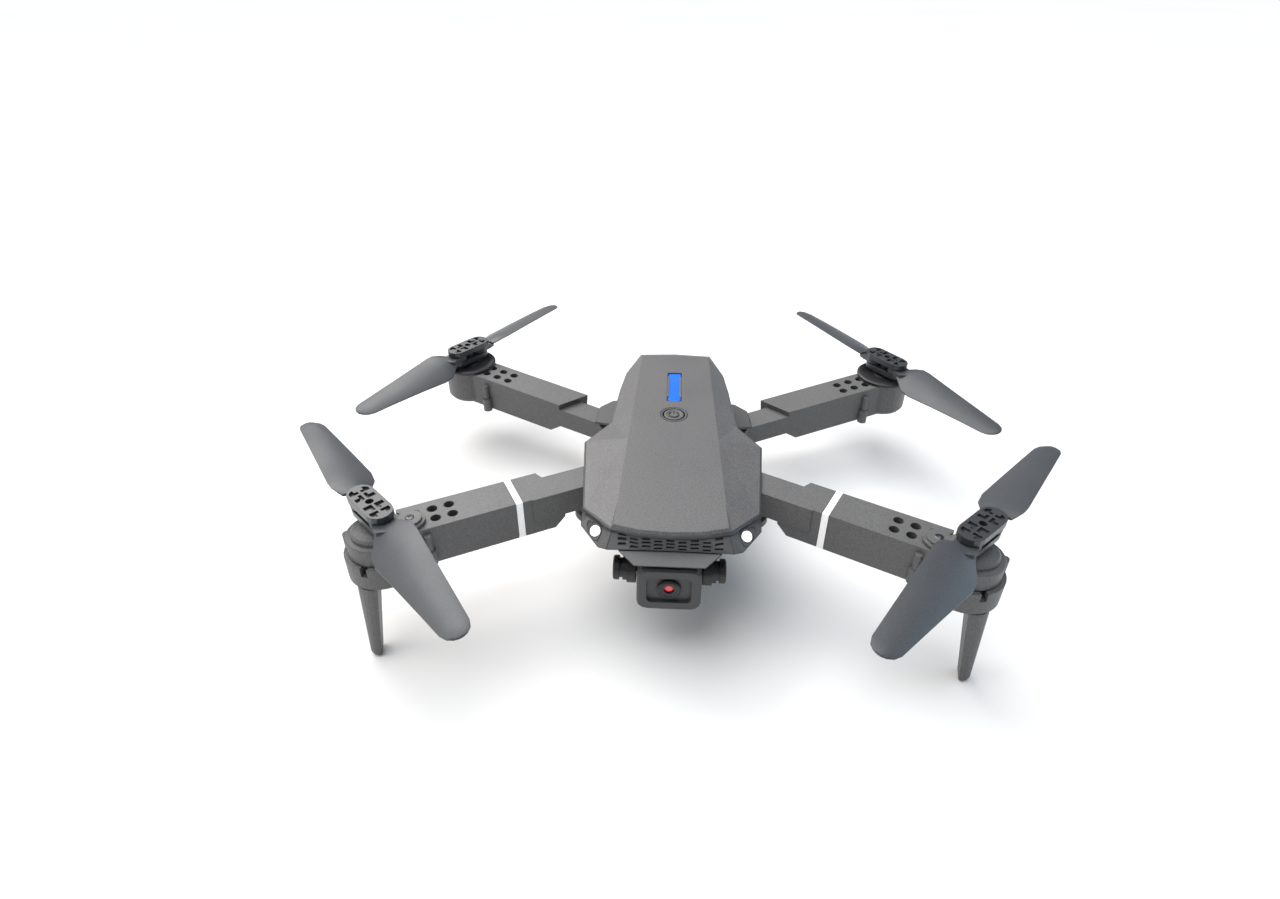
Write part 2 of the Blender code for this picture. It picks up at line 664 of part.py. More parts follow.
def top_cover():
    """Faceted cover: flat plateau, sloping sides and a short rim."""
    ridge = [(0, -0.6), (9.5, 0.0), (18.4, 2.4), (17.9, 14.5), (16.9, 52.0), (16.3, 68.0), (15.4, 94.5),
             (15.0, 108.0), (14.4, 118.6), (0, 119.6)]
    rim = [(0, -1.3), (9.8, -0.7), (19.2, 1.9), (29.2, 14.4), (32.8, 54.0), (24.2, 68.0), (22.3, 94.5),
           (20.6, 108.4), (15.2, 121.4), (0, 122.4)]
    plateau = hull_outline([(x, y_of(y), PLATEAU_Z) for x, y in ridge])
    edge_z = [PLATEAU_Z - 0.9, PLATEAU_Z - 0.9, PLATEAU_Z - 1.0, RIM_Z, RIM_Z, RIM_Z, RIM_Z, RIM_Z + 0.3,
              PLATEAU_Z - 1.0, PLATEAU_Z - 0.9]
    edge = hull_outline([(x, y_of(y), z) for (x, y), z in zip(rim, edge_z)])
    skirt = [Vector((p.x * 1.008, p.y, p.z - RIM_HEIGHT)) for p in edge]
    bm = bmesh.new()
    loops = [[bm.verts.new(p) for p in ring] for ring in (plateau, edge, skirt)]
    count = len(plateau)
    bm.faces.new(loops[0])
    for high, low in zip(loops, loops[1:]):
        for i in range(count):
            j = (i + 1) % count
            bm.faces.new((high[i], high[j], low[j], low[i]))
    cover = node("top_cover", bm, "shell")
    thick = cover.modifiers.new("wall", "SOLIDIFY")
    thick.thickness = COVER_WALL
    thick.offset = -1.0
    thick.use_even_offset = True
    baked(cover)
    slot = box((-3.0, y_of(80.0), PLATEAU_Z - 4), (3.0, y_of(103.5), PLATEAU_Z + 2))
    button_hole = cylinder(4.5, PLATEAU_Z - 4, PLATEAU_Z + 2, (BUTTON_POS.x, BUTTON_POS.y), 28)
    cut(cover, slot, button_hole)
    return cleaned(cover)


def core_ring(y, half, low_half, low, high):
    chamfer = 3.0
    return [Vector(p) for p in (
        (half, y, high), (half, y, low + 9.0), (low_half, y, low + chamfer), (low_half - chamfer, y, low),
        (-low_half + chamfer, y, low), (-low_half, y, low + chamfer), (-half, y, low + 9.0), (-half, y, high))]


def lower_shell():
    """Hull under the cover: tray for the board, battery bay, arm lugs and tail skids."""
    high = RIM_Z - RIM_HEIGHT - GAP - 0.1
    w = CORE_HALF_WIDTH
    rings = [core_ring(y_of(16.0), w - 4.0, 12.0, BELLY_Z + 8.0, high),
             core_ring(y_of(24.0), w, 14.0, BELLY_Z + 2.0, high),
             core_ring(y_of(60.0), w, 15.5, BELLY_Z, high),
             core_ring(y_of(92.0), w, 15.5, BELLY_Z, high),
             core_ring(y_of(104.0), w, 15.5, BELLY_Z - 2.0, high),
             core_ring(y_of(119.0), 14.6, 12.5, BELLY_Z - 1.0, high)]
    shell = node("lower_shell", loft(rings), "shell")
    hx, hy = FRONT_HINGE
    lug_top = FRONT_HUB.z + BEAM_TOP - BEAM_HEIGHT - GAP
    roof_low = REAR_HINGE.z + KNUCKLE_RADIUS + 0.8
    roof = [(15.0, 90.0), (34.2, 94.5), (33.2, 107.0), (28.0, 112.5), (15.0, 114.5)]
    for side in (1, -1):
        lug = [(side * x, y) for x, y in ((w - 3, hy - 9), (hx, hy - 7.0), (hx, hy + 7.0), (w - 3, hy + 12))]
        weld(shell, prism(lug, lug_top - 2.6, lug_top))
        weld(shell, cylinder(7.0, lug_top - 2.6, lug_top, (side * hx, hy), 28))
        cut(shell, cylinder(2.25, lug_top - 4, lug_top + 1, (side * hx, hy), 18))
        boss = along_hinge(cylinder(KNUCKLE_RADIUS, -16.0, -6.95, count=28))
        hole = along_hinge(cylinder(1.85, -11.4, -4.0, count=16))
        if side < 0:
            for bm in (boss, hole):
                moved(bm, Matrix.Scale(-1, 4, (1, 0, 0)))
        weld(shell, boss)
        weld(shell, loft([[Vector((side * (x - 0.6 * (z > roof_low)), y_of(y), z)) for x, y in roof]
                          for z in (roof_low, 30.2)]))
        cut(shell, hole)
        cut(shell, cylinder(12.3, -1.0, 26.4, (side * 24.4, y_of(24.5)), 36))
    tray = box((-w + 1.6, y_of(19.0), 33.5), (w - 1.6, y_of(113.0), high + 2))
    bay = box((-13.4, y_of(44.0), BELLY_Z + 2.2), (13.4, y_of(130.0), 31.6))
    cut(shell, tray, bay)
    for side in (1, -1):
        skid = [(0.0, 94.0), (0.0, 97.0), (0.0, 112.0), (0.0, 117.0)]
        outline = [(94.0, BELLY_Z + 1.5), (98.5, 0.0), (111.0, 0.0), (117.5, BELLY_Z + 1.5)]
        ring = [[Vector((side * x, y_of(y), z)) for y, z in outline] for x in (9.6, 12.6)]
        weld(shell, loft(ring))
    return cleaned(shell)


def nose_grille():
    """Nose fascia that flares below the cover, with honeycomb slots and a seat for each headlight."""
    wall = 1.8
    # upper edge and lower edge of the outer face, from the nose to the right-hand end
    right = [((0.0, -1.3, 48.1), (0.0, -2.7, 44.3)), ((9.6, -0.7, 48.1), (9.7, -2.8, 44.3)),
             ((18.8, 1.9, 48.0), (20.0, -3.1, 44.2)), ((21.2, 5.0, 47.3), (23.2, -1.4, 43.6)),
             ((27.4, 12.8, 45.5), (29.9, 9.4, 43.3)), ((28.2, 16.5, 45.4), (30.3, 15.5, 43.3))]
    left = [((-x, y, z), (-u, v, w)) for (x, y, z), (u, v, w) in reversed(right[1:])]
    rings = []
    for upper, lower in left + right:
        high, low = (Vector((x, y_of(y), z)) for x, y, z in (upper, lower))
        inward = (Vector((0, y_of(22.0), 0)) - Vector((high.x, high.y, 0))).normalized() * wall
        rings.append([high, low, low + inward, high + inward])
    band = node("nose_grille", loft(rings), "shell")
    slots = []
    pitch, row_step, half_high, tip = 3.85, 1.05, 0.31, 0.3
    for column in range(-4, 5):
        for row in range(3):
            z = 47.45 - row_step * (row + 0.5 * (column % 2))
            half_long = 1.5 - 0.08 * abs(row - 1)
            outline = [(-half_long, 0), (tip - half_long, half_high), (half_long - tip, half_high),
                       (half_long, 0), (half_long - tip, -half_high), (tip - half_long, -half_high)]
            ring = [[Vector((column * pitch + x, y_of(y), z + up)) for x, up in outline] for y in (-6.0, 5.0)]
            slots.append(loft(ring))
    cut(band, joined(*slots))
    for side in (1, -1):
        cut(band, headlight_shape(side, 2.05, -6.0, 6.0))
    return cleaned(band)


def headlight_shape(side, radius, start, end, count=20):
    """A cylinder along the headlight's line of sight."""
    centre = Vector((side * 24.3, y_of(4.7), 45.1))
    direction = Vector((side * 0.45, -0.62, 0.64)).normalized()
    turn = direction.to_track_quat("Z", "Y").to_matrix().to_4x4()
    return moved(cylinder(radius, start, end, count=count), Matrix.Translation(centre) @ turn)


def headlight(side, name):
    lens = node(name, headlight_shape(side, 1.75, -1.6, 0.9), "white")
    return cleaned(lens)


def chin_cover():
    """Chamfered trapezoid under the nose that shades the camera."""
    rings = []
    for z, back_half, back, front_half, front in ((43.9, 17.2, 0.0, 16.4, -3.2), (42.8, 13.8, 0.4, 11.4, -8.4),
                                                  (42.1, 13.0, 0.8, 10.6, -7.8)):
        rings.append([Vector((x, y_of(y), z)) for x, y in (
            (back_half, back), (front_half, front), (-front_half, front), (-back_half, back))])
    chin = node("chin_cover", loft(rings), "shell")
    return cleaned(chin)


def gimbal_drum(side, name):
    """Grooved drum beside the camera that carries its tilt axis."""
    r1, r2 = 4.9, 4.1
    inner, outer = CAMERA_WIDTH / 2 + 0.5, 18.6
    profile = [(inner, r1), (inner + 3.0, r1), (inner + 3.0, r2), (inner + 4.4, r2), (inner + 4.4, 3.3),
               (inner + 5.6, 3.3), (inner + 5.6, r2), (outer - 0.4, r2), (outer, r2 - 0.4)]
    hole = 1.5
    loop = [(r, x) for x, r in profile] + [(hole, outer), (hole, inner)]
    drum = node(name, turned(loop, 28), "dark")
    placed(drum, Matrix.Translation(CAMERA_AXIS) @ Matrix.Rotation(radians(90.0), 4, "Y"))
    web = box((inner + 0.2, CAMERA_AXIS.y - 0.2, CAMERA_AXIS.z + 3.0),
              (inner + 2.8, y_of(15.6), CAMERA_AXIS.z + 4.2))
    weld(drum, web)
    cleaned(drum)
    if side < 0:
        twin = mirrored(drum, name)
        bpy.data.objects.remove(drum)
        twin.name = name
        return twin
    return drum


def camera_pieces():
    """Camera block with its recessed window, lens barrel and glass, on a cross shaft."""
    front = -9.0
    back = 5.0
    rings = []
    for y, shrink in ((front, 0.7), (front + 0.7, 0.0), (back - 1.5, 0.0), (back, 1.5)):
        rings.append([Vector((x, y, z - 1.2)) for x, z in
                      rounded_rectangle(CAMERA_WIDTH - 2 * shrink, CAMERA_HEIGHT - 2 * shrink, 3.4 - shrink * 0.8)])
    block = node("camera_block", loft(rings), "arm")
    window = [[Vector((x, y, z - 1.2)) for x, z in rounded_rectangle(14.6, 10.6, 1.6)] for y in (front - 1, front + 1.3)]
    cut(block, loft(window))
    turn = Matrix.Rotation(radians(90.0), 4, "X")
    cut(block, moved(cylinder(3.5, -front - 4.5, -front + 1, count=28), Matrix.Translation((0, 0, -1.2)) @ turn))
    weld(block, moved(cylinder(1.2, -15.0, 15.0, count=16), Matrix.Rotation(radians(90.0), 4, "Y")))
    cleaned(block)
    barrel_loop = [(3.9, 0.2), (3.9, 1.0), (3.3, 1.4), (2.6, 1.1), (1.9, 0.2), (1.9, -0.5), (3.2, -2.6), (3.2, 0.2)]
    barrel = node("camera_lens_barrel", turned(barrel_loop, 28), "dark")
    glass = node("camera_lens_glass", turned([(1.6, -1.5), (1.6, -0.1), (1.1, 0.25), (0.5, 0.42), (0.12, 0.46),
                                              (0.12, -1.5)], 20), "red")
    for obj in (barrel, glass):
        placed(obj, Matrix.Translation((0, front + 1.3, -1.2)) @ turn)
        cleaned(obj)
    pieces = [block, barrel, glass]
    for obj in pieces:
        placed(obj, Matrix.Translation(CAMERA_AXIS))
    return pieces


def power_button():
    """Round button in the cover, with a plain raised ring."""
    top = PLATEAU_Z + 0.1
    profile = [(3.9, top - 2.2), (3.9, top - 0.2), (3.7, top), (2.9, top), (2.7, top - 0.25), (0.1, top - 0.25),
               (0.1, top - 2.9), (1.6, top - 2.9), (1.6, top - 2.2)]
    button = node("power_button", turned(profile, 32), "dark")
    placed(button, Matrix.Translation((BUTTON_POS.x, BUTTON_POS.y, 0)))
    return cleaned(button)


def board_and_lights():
    """Flight board in the tray, the switch on it and the blue light bar in the cover's slot."""
    board = node("circuit_board", box((-15.0, y_of(30.0), 33.9), (15.0, y_of(108.0), 35.1)), "board")
    chips = joined(box((-5, y_of(38.0), 35.0), (5, y_of(46.0), 36.6)), box((-4, y_of(52.0), 35.0), (4, y_of(60.0), 36.2)),
                   box((-8, y_of(84.0), 35.0), (8, y_of(97.0), 38.2)))
    weld(board, chips)
    cleaned(board)
    top = PLATEAU_Z + 0.1 - 2.9 - BUTTON_TRAVEL - 0.25
    switch = node("button_switch", box((-3, BUTTON_POS.y - 3, 35.4), (3, BUTTON_POS.y + 3, top - 1.0)), "dark")
    weld(switch, cylinder(1.2, top - 2.0, top, (0, BUTTON_POS.y), 12))
    cleaned(switch)
    light_outline = [(x, y) for x, y in rounded_rectangle(5.2, 22.6, 0.7, 3)]
    light = node("status_light", prism([(x, y + y_of(91.75)) for x, y in light_outline],
                                       PLATEAU_Z - 2.4, PLATEAU_Z - 0.35), "blue")
    cleaned(light)
    return [board, switch, light]


def battery():
    """Battery pack in the tail bay, its end cap and the sprung latch tab in the cap."""
    pack = node("battery_pack", moved(loft([[Vector((x, y, z)) for x, z in rounded_rectangle(25.6, 14.2, 1.6, 3)]
                                            for y in (y_of(46.0), y_of(113.6))]),
                                      Matrix.Translation((0, 0, BELLY_Z + 2.2 + 7.7))), "battery")
    cleaned(pack)
    z0, z1 = BELLY_Z + 2.6, 31.2
    middle, high = (z0 + z1) / 2, z1 - z0
    rings = []
    for y, shrink in ((113.9, 0.0), (119.6, 0.0), (121.4, 1.6)):
        rings.append([Vector((x, y_of(y), z + middle)) for x, z in
                      rounded_rectangle(26.0 - 2 * shrink, high - 2 * shrink, 1.8, 3)])
    cap = node("battery_end_cap", loft(rings), "shell")
    cut(cap, box((-4.3, y_of(114.8), z1 - 3.2), (4.3, y_of(125.0), z1 + 3)))
    cleaned(cap)
    tab = node("battery_latch", box((-4.0, y_of(115.1), z1 - 2.0), (4.0, y_of(122.6), z1 - 0.1)), "dark")
    cleaned(tab)
    return pack, cap, tab


# ---------------------------------------------------------------- assembly
def build_corner(name, hub, azimuth, plate, spin, floor, motor_top, hinge, makers, hull):
    """One arm with its pod and propeller, modelled on the +X side and mirrored to the other."""
    arm_pieces = [maker() for maker in makers]
    motor, pinion, gear_low = drive(name, hub, azimuth, floor, motor_top)
    spinning, blades = propeller(name, hub, azimuth, plate, gear_low, spin)
    pinion_at = hub + Matrix.Rotation(radians(azimuth + 180.0), 4, "Z") @ Vector((GEAR_CENTRES, 0, 0))
    groups = ([*arm_pieces, motor], [pinion], spinning, blades[:1], blades[1:])
    twins = [[mirrored(obj, obj.name.replace("left", "right")) for obj in group] for group in groups]
    for side, pieces in ((1, groups), (-1, twins)):
        label = name if side > 0 else name.replace("left", "right")

        def place(suffix, point, parent):
            return joint(f"{label}_{suffix}", (side * point[0], point[1], point[2]), parent)

        fold = place("fold", hinge, hull)
        shaft = place("spin", hub, fold)
        empties = (fold, place("pinion_spin", pinion_at, fold), shaft,
                   place("blade_a_fold", pin_point(hub, plate), shaft),
                   place("blade_b_fold", pin_point(hub, plate + 180.0), shaft))
        for group, empty in zip(pieces, empties):
            hang(group, empty)


def main():
    for obj in list(bpy.data.objects):
        bpy.data.objects.remove(obj, do_unlink=True)

    hull = joint("hull", (0, 0, 0))
    left_lamp = headlight(1, "headlight_left")
    right_lamp = headlight(-1, "headlight_right")
    fixed = [top_cover(), lower_shell(), nose_grille(), left_lamp, right_lamp, chin_cover(),
             gimbal_drum(1, "gimbal_drum_left"), gimbal_drum(-1, "gimbal_drum_right")]
    fixed += board_and_lights()
    hang(fixed, hull)

    camera = joint("camera_tilt", CAMERA_AXIS, hull)
    hang(camera_pieces(), camera)
    button = joint("button_press", BUTTON_POS, hull)
    hang([power_button()], button)
    pack, cap, tab = battery()
    slide = joint("battery_slide", (0, y_of(118.0), 24.0), hull)
    hang([pack, cap], slide)
    hang([tab], joint("latch_press", (0, y_of(118.0), 30.0), slide))

    build_corner("front_left", FRONT_HUB, FRONT_ARM_AZIMUTH, FRONT_PLATE_AZIMUTH, -1, BEAM_TOP - BEAM_HEIGHT,
                 BEAM_TOP - 1.5, Vector((FRONT_HINGE.x, FRONT_HINGE.y, 38.0)),
                 [front_arm, arm_band, landing_leg, front_gear_cover], hull)
    build_corner("rear_left", REAR_HUB, REAR_ARM_AZIMUTH, REAR_PLATE_AZIMUTH, 1, REAR_POD_LOW,
                 REAR_POD_TOP - 1.6, REAR_HINGE, [rear_arm, rear_gear_cover], hull)


main()
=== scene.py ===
"""Looks of the foldable quadcopter: materials, small trim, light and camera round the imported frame."""

from math import cos, pi, radians, sin

import bmesh
import bpy
from mathutils import Matrix, Vector
from mathutils.bvhtree import BVHTree


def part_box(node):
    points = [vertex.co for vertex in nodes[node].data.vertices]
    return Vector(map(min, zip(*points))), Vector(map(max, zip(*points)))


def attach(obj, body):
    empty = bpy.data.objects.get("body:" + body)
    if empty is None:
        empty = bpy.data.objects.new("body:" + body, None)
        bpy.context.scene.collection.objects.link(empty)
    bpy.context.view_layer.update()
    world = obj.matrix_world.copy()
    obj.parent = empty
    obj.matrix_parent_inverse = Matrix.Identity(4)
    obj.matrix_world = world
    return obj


MM = 0.001
CAMERA_ROWS = (
    (0.99876, -0.03300, 0.03744, -0.0016),
    (0.04953, 0.56446, -0.82397, -0.2525),
    (0.00605, 0.82481, 0.56539, 0.2073),
    (0.0, 0.0, 0.0, 1.0),
)
LENS = 21.424                 # mm on a 36 mm wide sensor

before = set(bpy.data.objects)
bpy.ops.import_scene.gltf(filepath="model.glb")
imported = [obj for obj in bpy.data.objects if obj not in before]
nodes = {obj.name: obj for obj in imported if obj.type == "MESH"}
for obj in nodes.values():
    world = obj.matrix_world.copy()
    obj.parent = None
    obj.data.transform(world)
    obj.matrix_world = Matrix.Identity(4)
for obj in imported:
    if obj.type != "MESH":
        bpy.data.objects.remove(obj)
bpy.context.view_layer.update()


# ---------------------------------------------------------------- materials
def new_material(name):
    mat = bpy.data.materials.new(name)
    mat.use_nodes = True
    tree = mat.node_tree
    return mat, tree, tree.nodes["Principled BSDF"]


def link(tree, a, b):
    tree.links.new(a, b)


def noise(tree, coords, scale, detail=2.0, rough=0.5):
    tex = tree.nodes.new("ShaderNodeTexNoise")
    tex.inputs["Scale"].default_value = scale
    tex.inputs["Detail"].default_value = detail
    tex.inputs["Roughness"].default_value = rough
    link(tree, coords, tex.inputs["Vector"])
    return tex.outputs["Fac"]


def ramp(tree, factor, stops):
    node = tree.nodes.new("ShaderNodeValToRGB")
    elements = node.color_ramp.elements
    while len(elements) < len(stops):
        elements.new(0.5)
    for element, (place, colour) in zip(elements, stops):
        element.position = place
        element.color = (*colour, 1.0)
    link(tree, factor, node.inputs["Fac"])
    return node.outputs["Color"]


def spread(tree, factor, low, high):
    node = tree.nodes.new("ShaderNodeMapRange")
    node.inputs["From Min"].default_value = 0.3
    node.inputs["From Max"].default_value = 0.7
    node.inputs["To Min"].default_value = low
    node.inputs["To Max"].default_value = high
    link(tree, factor, node.inputs["Value"])
    return node.outputs["Result"]


def moulded(name, colour, rough=0.5, speckle=0.22, grain=2600.0, bump=0.12, edge=0.35):
    """Moulded plastic: two-scale speckle in the colour, broken gloss, fine bump and soft edges."""
    mat, tree, shader = new_material(name)
    coords = tree.nodes.new("ShaderNodeTexCoord").outputs["Object"]
    fine = noise(tree, coords, grain, 1.5, 0.6)
    broad = noise(tree, coords, 55.0, 3.0)
    dark = tuple(c * (1.0 - speckle) for c in colour)
    light = tuple(min(c * (1.0 + speckle), 1.0) for c in colour)
    speck = ramp(tree, fine, ((0.34, dark), (0.5, colour), (0.66, light)))
    mix = tree.nodes.new("ShaderNodeMix")
    mix.data_type = "RGBA"
    mix.blend_type = "MULTIPLY"
    mix.inputs["Factor"].default_value = 1.0
    link(tree, speck, mix.inputs[6])
    link(tree, ramp(tree, broad, ((0.3, (0.93, 0.93, 0.94)), (0.7, (1.0, 1.0, 1.0)))), mix.inputs[7])
    link(tree, mix.outputs[2], shader.inputs["Base Color"])
    gloss = spread(tree, broad, max(rough - 0.05, 0.02), min(rough + 0.06, 1.0))
    link(tree, gloss, shader.inputs["Roughness"])
    relief = tree.nodes.new("ShaderNodeBump")
    relief.inputs["Strength"].default_value = bump
    relief.inputs["Distance"].default_value = 0.0002
    link(tree, fine, relief.inputs["Height"])
    if edge > 0:
        bevel = tree.nodes.new("ShaderNodeBevel")
        bevel.samples = 4
        bevel.inputs["Radius"].default_value = edge * MM
        link(tree, bevel.outputs["Normal"], relief.inputs["Normal"])
    link(tree, relief.outputs["Normal"], shader.inputs["Normal"])
    return mat, shader


def plain(*args, **words):
    return moulded(*args, **words)[0]


# Plastic with emission: a real lamp for the headlights and the blue light bar, painted glow for the white arm
# band and the red lens coating, which are no lamps.
def lamp_and_painted_glow_plastic(name, colour, glow, strength, rough=0.25):
    mat, shader = moulded(name, colour, rough, 0.05, 1400.0, 0.03, 0.2)
    shader.inputs["Emission Color"].default_value = (*glow, 1.0)
    shader.inputs["Emission Strength"].default_value = strength
    return mat


def brushed(name, colour):
    """Drawn steel: fine lines along the can."""
    mat, tree, shader = new_material(name)
    coords = tree.nodes.new("ShaderNodeTexCoord").outputs["Object"]
    stretch = tree.nodes.new("ShaderNodeMapping")
    stretch.inputs["Scale"].default_value = (1.0, 1.0, 0.05)
    link(tree, coords, stretch.inputs["Vector"])
    lines = noise(tree, stretch.outputs["Vector"], 5200.0, 2.0)
    dark = tuple(c * 0.8 for c in colour)
    link(tree, ramp(tree, lines, ((0.3, dark), (0.7, colour))), shader.inputs["Base Color"])
    link(tree, spread(tree, lines, 0.24, 0.4), shader.inputs["Roughness"])
    shader.inputs["Metallic"].default_value = 1.0
    return mat


SHELL = (0.106, 0.105, 0.108)
ARM = (0.106, 0.106, 0.107)
MATERIALS = {
    "shell": plain("shell_plastic", SHELL, 0.46, 0.30, 2300.0, 0.16),
    "arm": plain("arm_plastic", ARM, 0.50, 0.24, 2600.0, 0.14),
    "trim": plain("trim_plastic", (0.074, 0.075, 0.077), 0.5, 0.12, 2600.0, 0.10),
    "camera": plain("camera_plastic", (0.050, 0.052, 0.054), 0.48, 0.10, 2600.0, 0.08),
    # dark rim colour: partly a seam line, partly painted shade on the cover's sideways-facing edge
    "rim": plain("rim_plastic", (0.045, 0.049, 0.054), 0.32, 0.08, 2600.0, 0.04),
    "blade": plain("blade_plastic", (0.052, 0.057, 0.065), 0.42, 0.16, 3200.0, 0.08, 0.2),
    "hub": plain("hub_plastic", (0.036, 0.040, 0.045), 0.33, 0.12, 2600.0, 0.06, 0.25),
    "black": plain("black_plastic", (0.016, 0.016, 0.018), 0.42, 0.12, 2600.0, 0.06, 0.25),
    # the white arm band's emission of 0.15 is painted glow: the band is no lamp
    "band": lamp_and_painted_glow_plastic("white_band_painted_glow", (0.90, 0.90, 0.90), (1.0, 1.0, 1.0), 0.15, 0.35),
    "lamp": lamp_and_painted_glow_plastic("headlight_lens", (0.95, 0.95, 0.95), (1.0, 1.0, 1.0), 1.6, 0.15),
    "blue": lamp_and_painted_glow_plastic("blue_light_bar", (0.010, 0.120, 0.720), (0.01, 0.13, 0.80), 0.35, 0.22),
    # the red lens coating's emission of 0.25 is painted glow: the lens is no lamp
    "lens": lamp_and_painted_glow_plastic("lens_coating_painted_glow", (0.72, 0.10, 0.11), (0.9, 0.10, 0.11), 0.25, 0.06),
    "glass": plain("lens_black_glass", (0.006, 0.006, 0.008), 0.07, 0.02, 600.0, 0.0, 0.0),
    "steel": brushed("motor_steel", (0.56, 0.56, 0.58)),
    "screw": brushed("screw_steel", (0.10, 0.10, 0.105)),
    "nylon": plain("gear_nylon", (0.74, 0.73, 0.68), 0.42, 0.04, 900.0, 0.05),
    "board": plain("board_laminate", (0.012, 0.110, 0.045), 0.4, 0.25, 700.0, 0.1),
    "wrap": plain("battery_wrap", (0.030, 0.031, 0.034), 0.4, 0.1, 500.0, 0.08),
}
SPECIAL_FINISHES = {
    "status_light": "blue",
    "camera_lens_glass": "lens",
    "camera_block": "camera",
    "circuit_board": "board",
    "battery_pack": "wrap",
}
WELD_REACH = 2e-6             # metres: joins the blades' doubled corners
BLADE_CREASE = radians(40.0)  # blade edges sharper than this stay sharp


def finish_of(name):
    if "blade" in name:
        return "blade"
    if "hub_plate" in name:
        return "hub"
    if name.startswith("rear") and name.endswith("gear_cover"):
        return "black"
    if name.endswith("arm_band"):
        return "band"
    if name.endswith("main_gear"):
        return "nylon"
    if name.endswith(("_motor", "_pinion")):
        return "steel"
    if name in ("top_cover", "power_button"):
        return "shell"
    if name in ("nose_grille", "chin_cover", "lower_shell", "battery_end_cap"):
        return "trim"
    if name.startswith("gimbal_drum") or name in ("camera_lens_barrel", "button_switch", "battery_latch"):
        return "black"
    if name.startswith("headlight"):
        return "lamp"
    return SPECIAL_FINISHES.get(name, "arm")


for cad_name, obj in nodes.items():
    obj.data.materials.clear()
    obj.data.materials.append(MATERIALS[finish_of(cad_name)])
    if "_blade_" in cad_name:
        obj.data.shade_smooth()
        welded = obj.modifiers.new("weld", "WELD")
        welded.merge_threshold = WELD_REACH
        creases = obj.modifiers.new("creases", "EDGE_SPLIT")
        creases.split_angle = BLADE_CREASE
        obj.modifiers.new("normals", "WEIGHTED_NORMAL").weight = 50


# ---------------------------------------------------------------- mesh helpers (millimetres in, metres out)
def piece(name, bm, finish, body, width=0.0):
    bmesh.ops.recalc_face_normals(bm, faces=bm.faces)
    bmesh.ops.scale(bm, vec=(MM, MM, MM), verts=bm.verts)
    mesh = bpy.data.meshes.new(name)
    bm.to_mesh(mesh)
    bm.free()
    obj = bpy.data.objects.new(name, mesh)
    bpy.context.collection.objects.link(obj)
    mesh.materials.append(MATERIALS[finish])
    if width > 0:
        soft = obj.modifiers.new("edge", "BEVEL")
        soft.width = width * MM
        soft.segments = 2
        soft.angle_limit = radians(40)
    mesh.shade_smooth()
    mesh.set_sharp_from_angle(angle=radians(35))
    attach(obj, body)
    return obj


def add_loft(bm, rings, closed=False):
    loops = [[bm.verts.new(p) for p in ring] for ring in rings]
    pairs = list(zip(loops, loops[1:])) + ([(loops[-1], loops[0])] if closed else [])
    for low, high in pairs:
        for i in range(len(low)):
            j = (i + 1) % len(low)
            bm.faces.new((low[i], low[j], high[j], high[i]))
    if not closed:
        bm.faces.new(reversed(loops[0]))
        bm.faces.new(loops[-1])
    return bm


def ring_sector(bm, inner, outer, low, high, start, end, matrix=Matrix.Identity(4), steps=24):
    """An arc-shaped bar with a rectangular section."""
    rings = []
    for i in range(steps + 1):
        a = radians(start + (end - start) * i / steps)
        rings.append([matrix @ Vector((r * cos(a), r * sin(a), z)) for r, z in
                      ((inner, low), (outer, low), (outer, high), (inner, high))])
    return add_loft(bm, rings)


def turned(bm, profile, matrix=Matrix.Identity(4), count=28):
    rings = []
    for i in range(count):
        a = 2 * pi * i / count
        rings.append([matrix @ Vector((r * cos(a), r * sin(a), z)) for r, z in profile])
    return add_loft(bm, rings, closed=True)


def aimed(place, way):
    """Places a shape at a point with its +Z along a direction."""
    return Matrix.Translation(place) @ Vector(way).to_track_quat("Z", "Y").to_matrix().to_4x4()


def slab(bm, outline, low, high, matrix=Matrix.Identity(4)):
    return add_loft(bm, [[matrix @ Vector((x, y, z)) for x, y in outline] for z in (low, high)])


def centre_of(name):
    low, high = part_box(name)
    return (low + high) / 2 / MM


def top_of(name):
    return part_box(name)[1].z / MM


# ---------------------------------------------------------------- button ring and power symbol
plateau = top_of("top_cover")
button = centre_of("power_button")
face = top_of("power_button")
at_button = Matrix.Translation((button.x, button.y, 0))
RING_SECTION = ((5.0, -0.2), (5.0, 0.03), (5.12, 0.07), (5.38, 0.07), (5.5, 0.03), (5.5, -0.2))
ring = turned(bmesh.new(), [(r, plateau + up) for r, up in RING_SECTION], at_button, 48)
piece("power_button_ring", ring, "black", "hull")
glyph = ring_sector(bmesh.new(), 1.7, 2.15, face - 0.2, face + 0.03, 128, 412, at_button, 32)
slab(glyph, [(-0.22, 1.0), (0.22, 1.0), (0.22, 2.5), (-0.22, 2.5)], face - 0.2, face + 0.03, at_button)
piece("power_button_mark", glyph, "black", "power_button")

# ---------------------------------------------------------------- light bar: cheeks and rounded ends
light_low, light_high = (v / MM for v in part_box("status_light"))
END = 3.4                      # length of each wide end
HALF, NECK, ROUND = 2.95, 2.15, 1.9
cheeks, corners = bmesh.new(), bmesh.new()
for side in (1, -1):
    slab(cheeks, [(side * HALF, light_low.y + END - 0.9), (side * NECK, light_low.y + END),
                  (side * NECK, light_high.y - END), (side * HALF, light_high.y - END + 0.9)],
         light_high.z - 0.3, plateau - 0.03)
    for y, way in ((light_low.y - 0.3, 1), (light_high.y + 0.3, -1)):
        bend = [(HALF - ROUND + ROUND * cos(a), ROUND + ROUND * sin(a)) for a in
                (radians(-15.0 * i) for i in range(7))]
        filler = [(side * x, y + way * d) for x, d in [(HALF, 0.0)] + bend]
        slab(corners, filler, light_high.z - 0.3, plateau - 0.06)
piece("light_bar_cheeks", cheeks, "shell", "hull", 0.08)
piece("light_bar_corners", corners, "black", "hull")
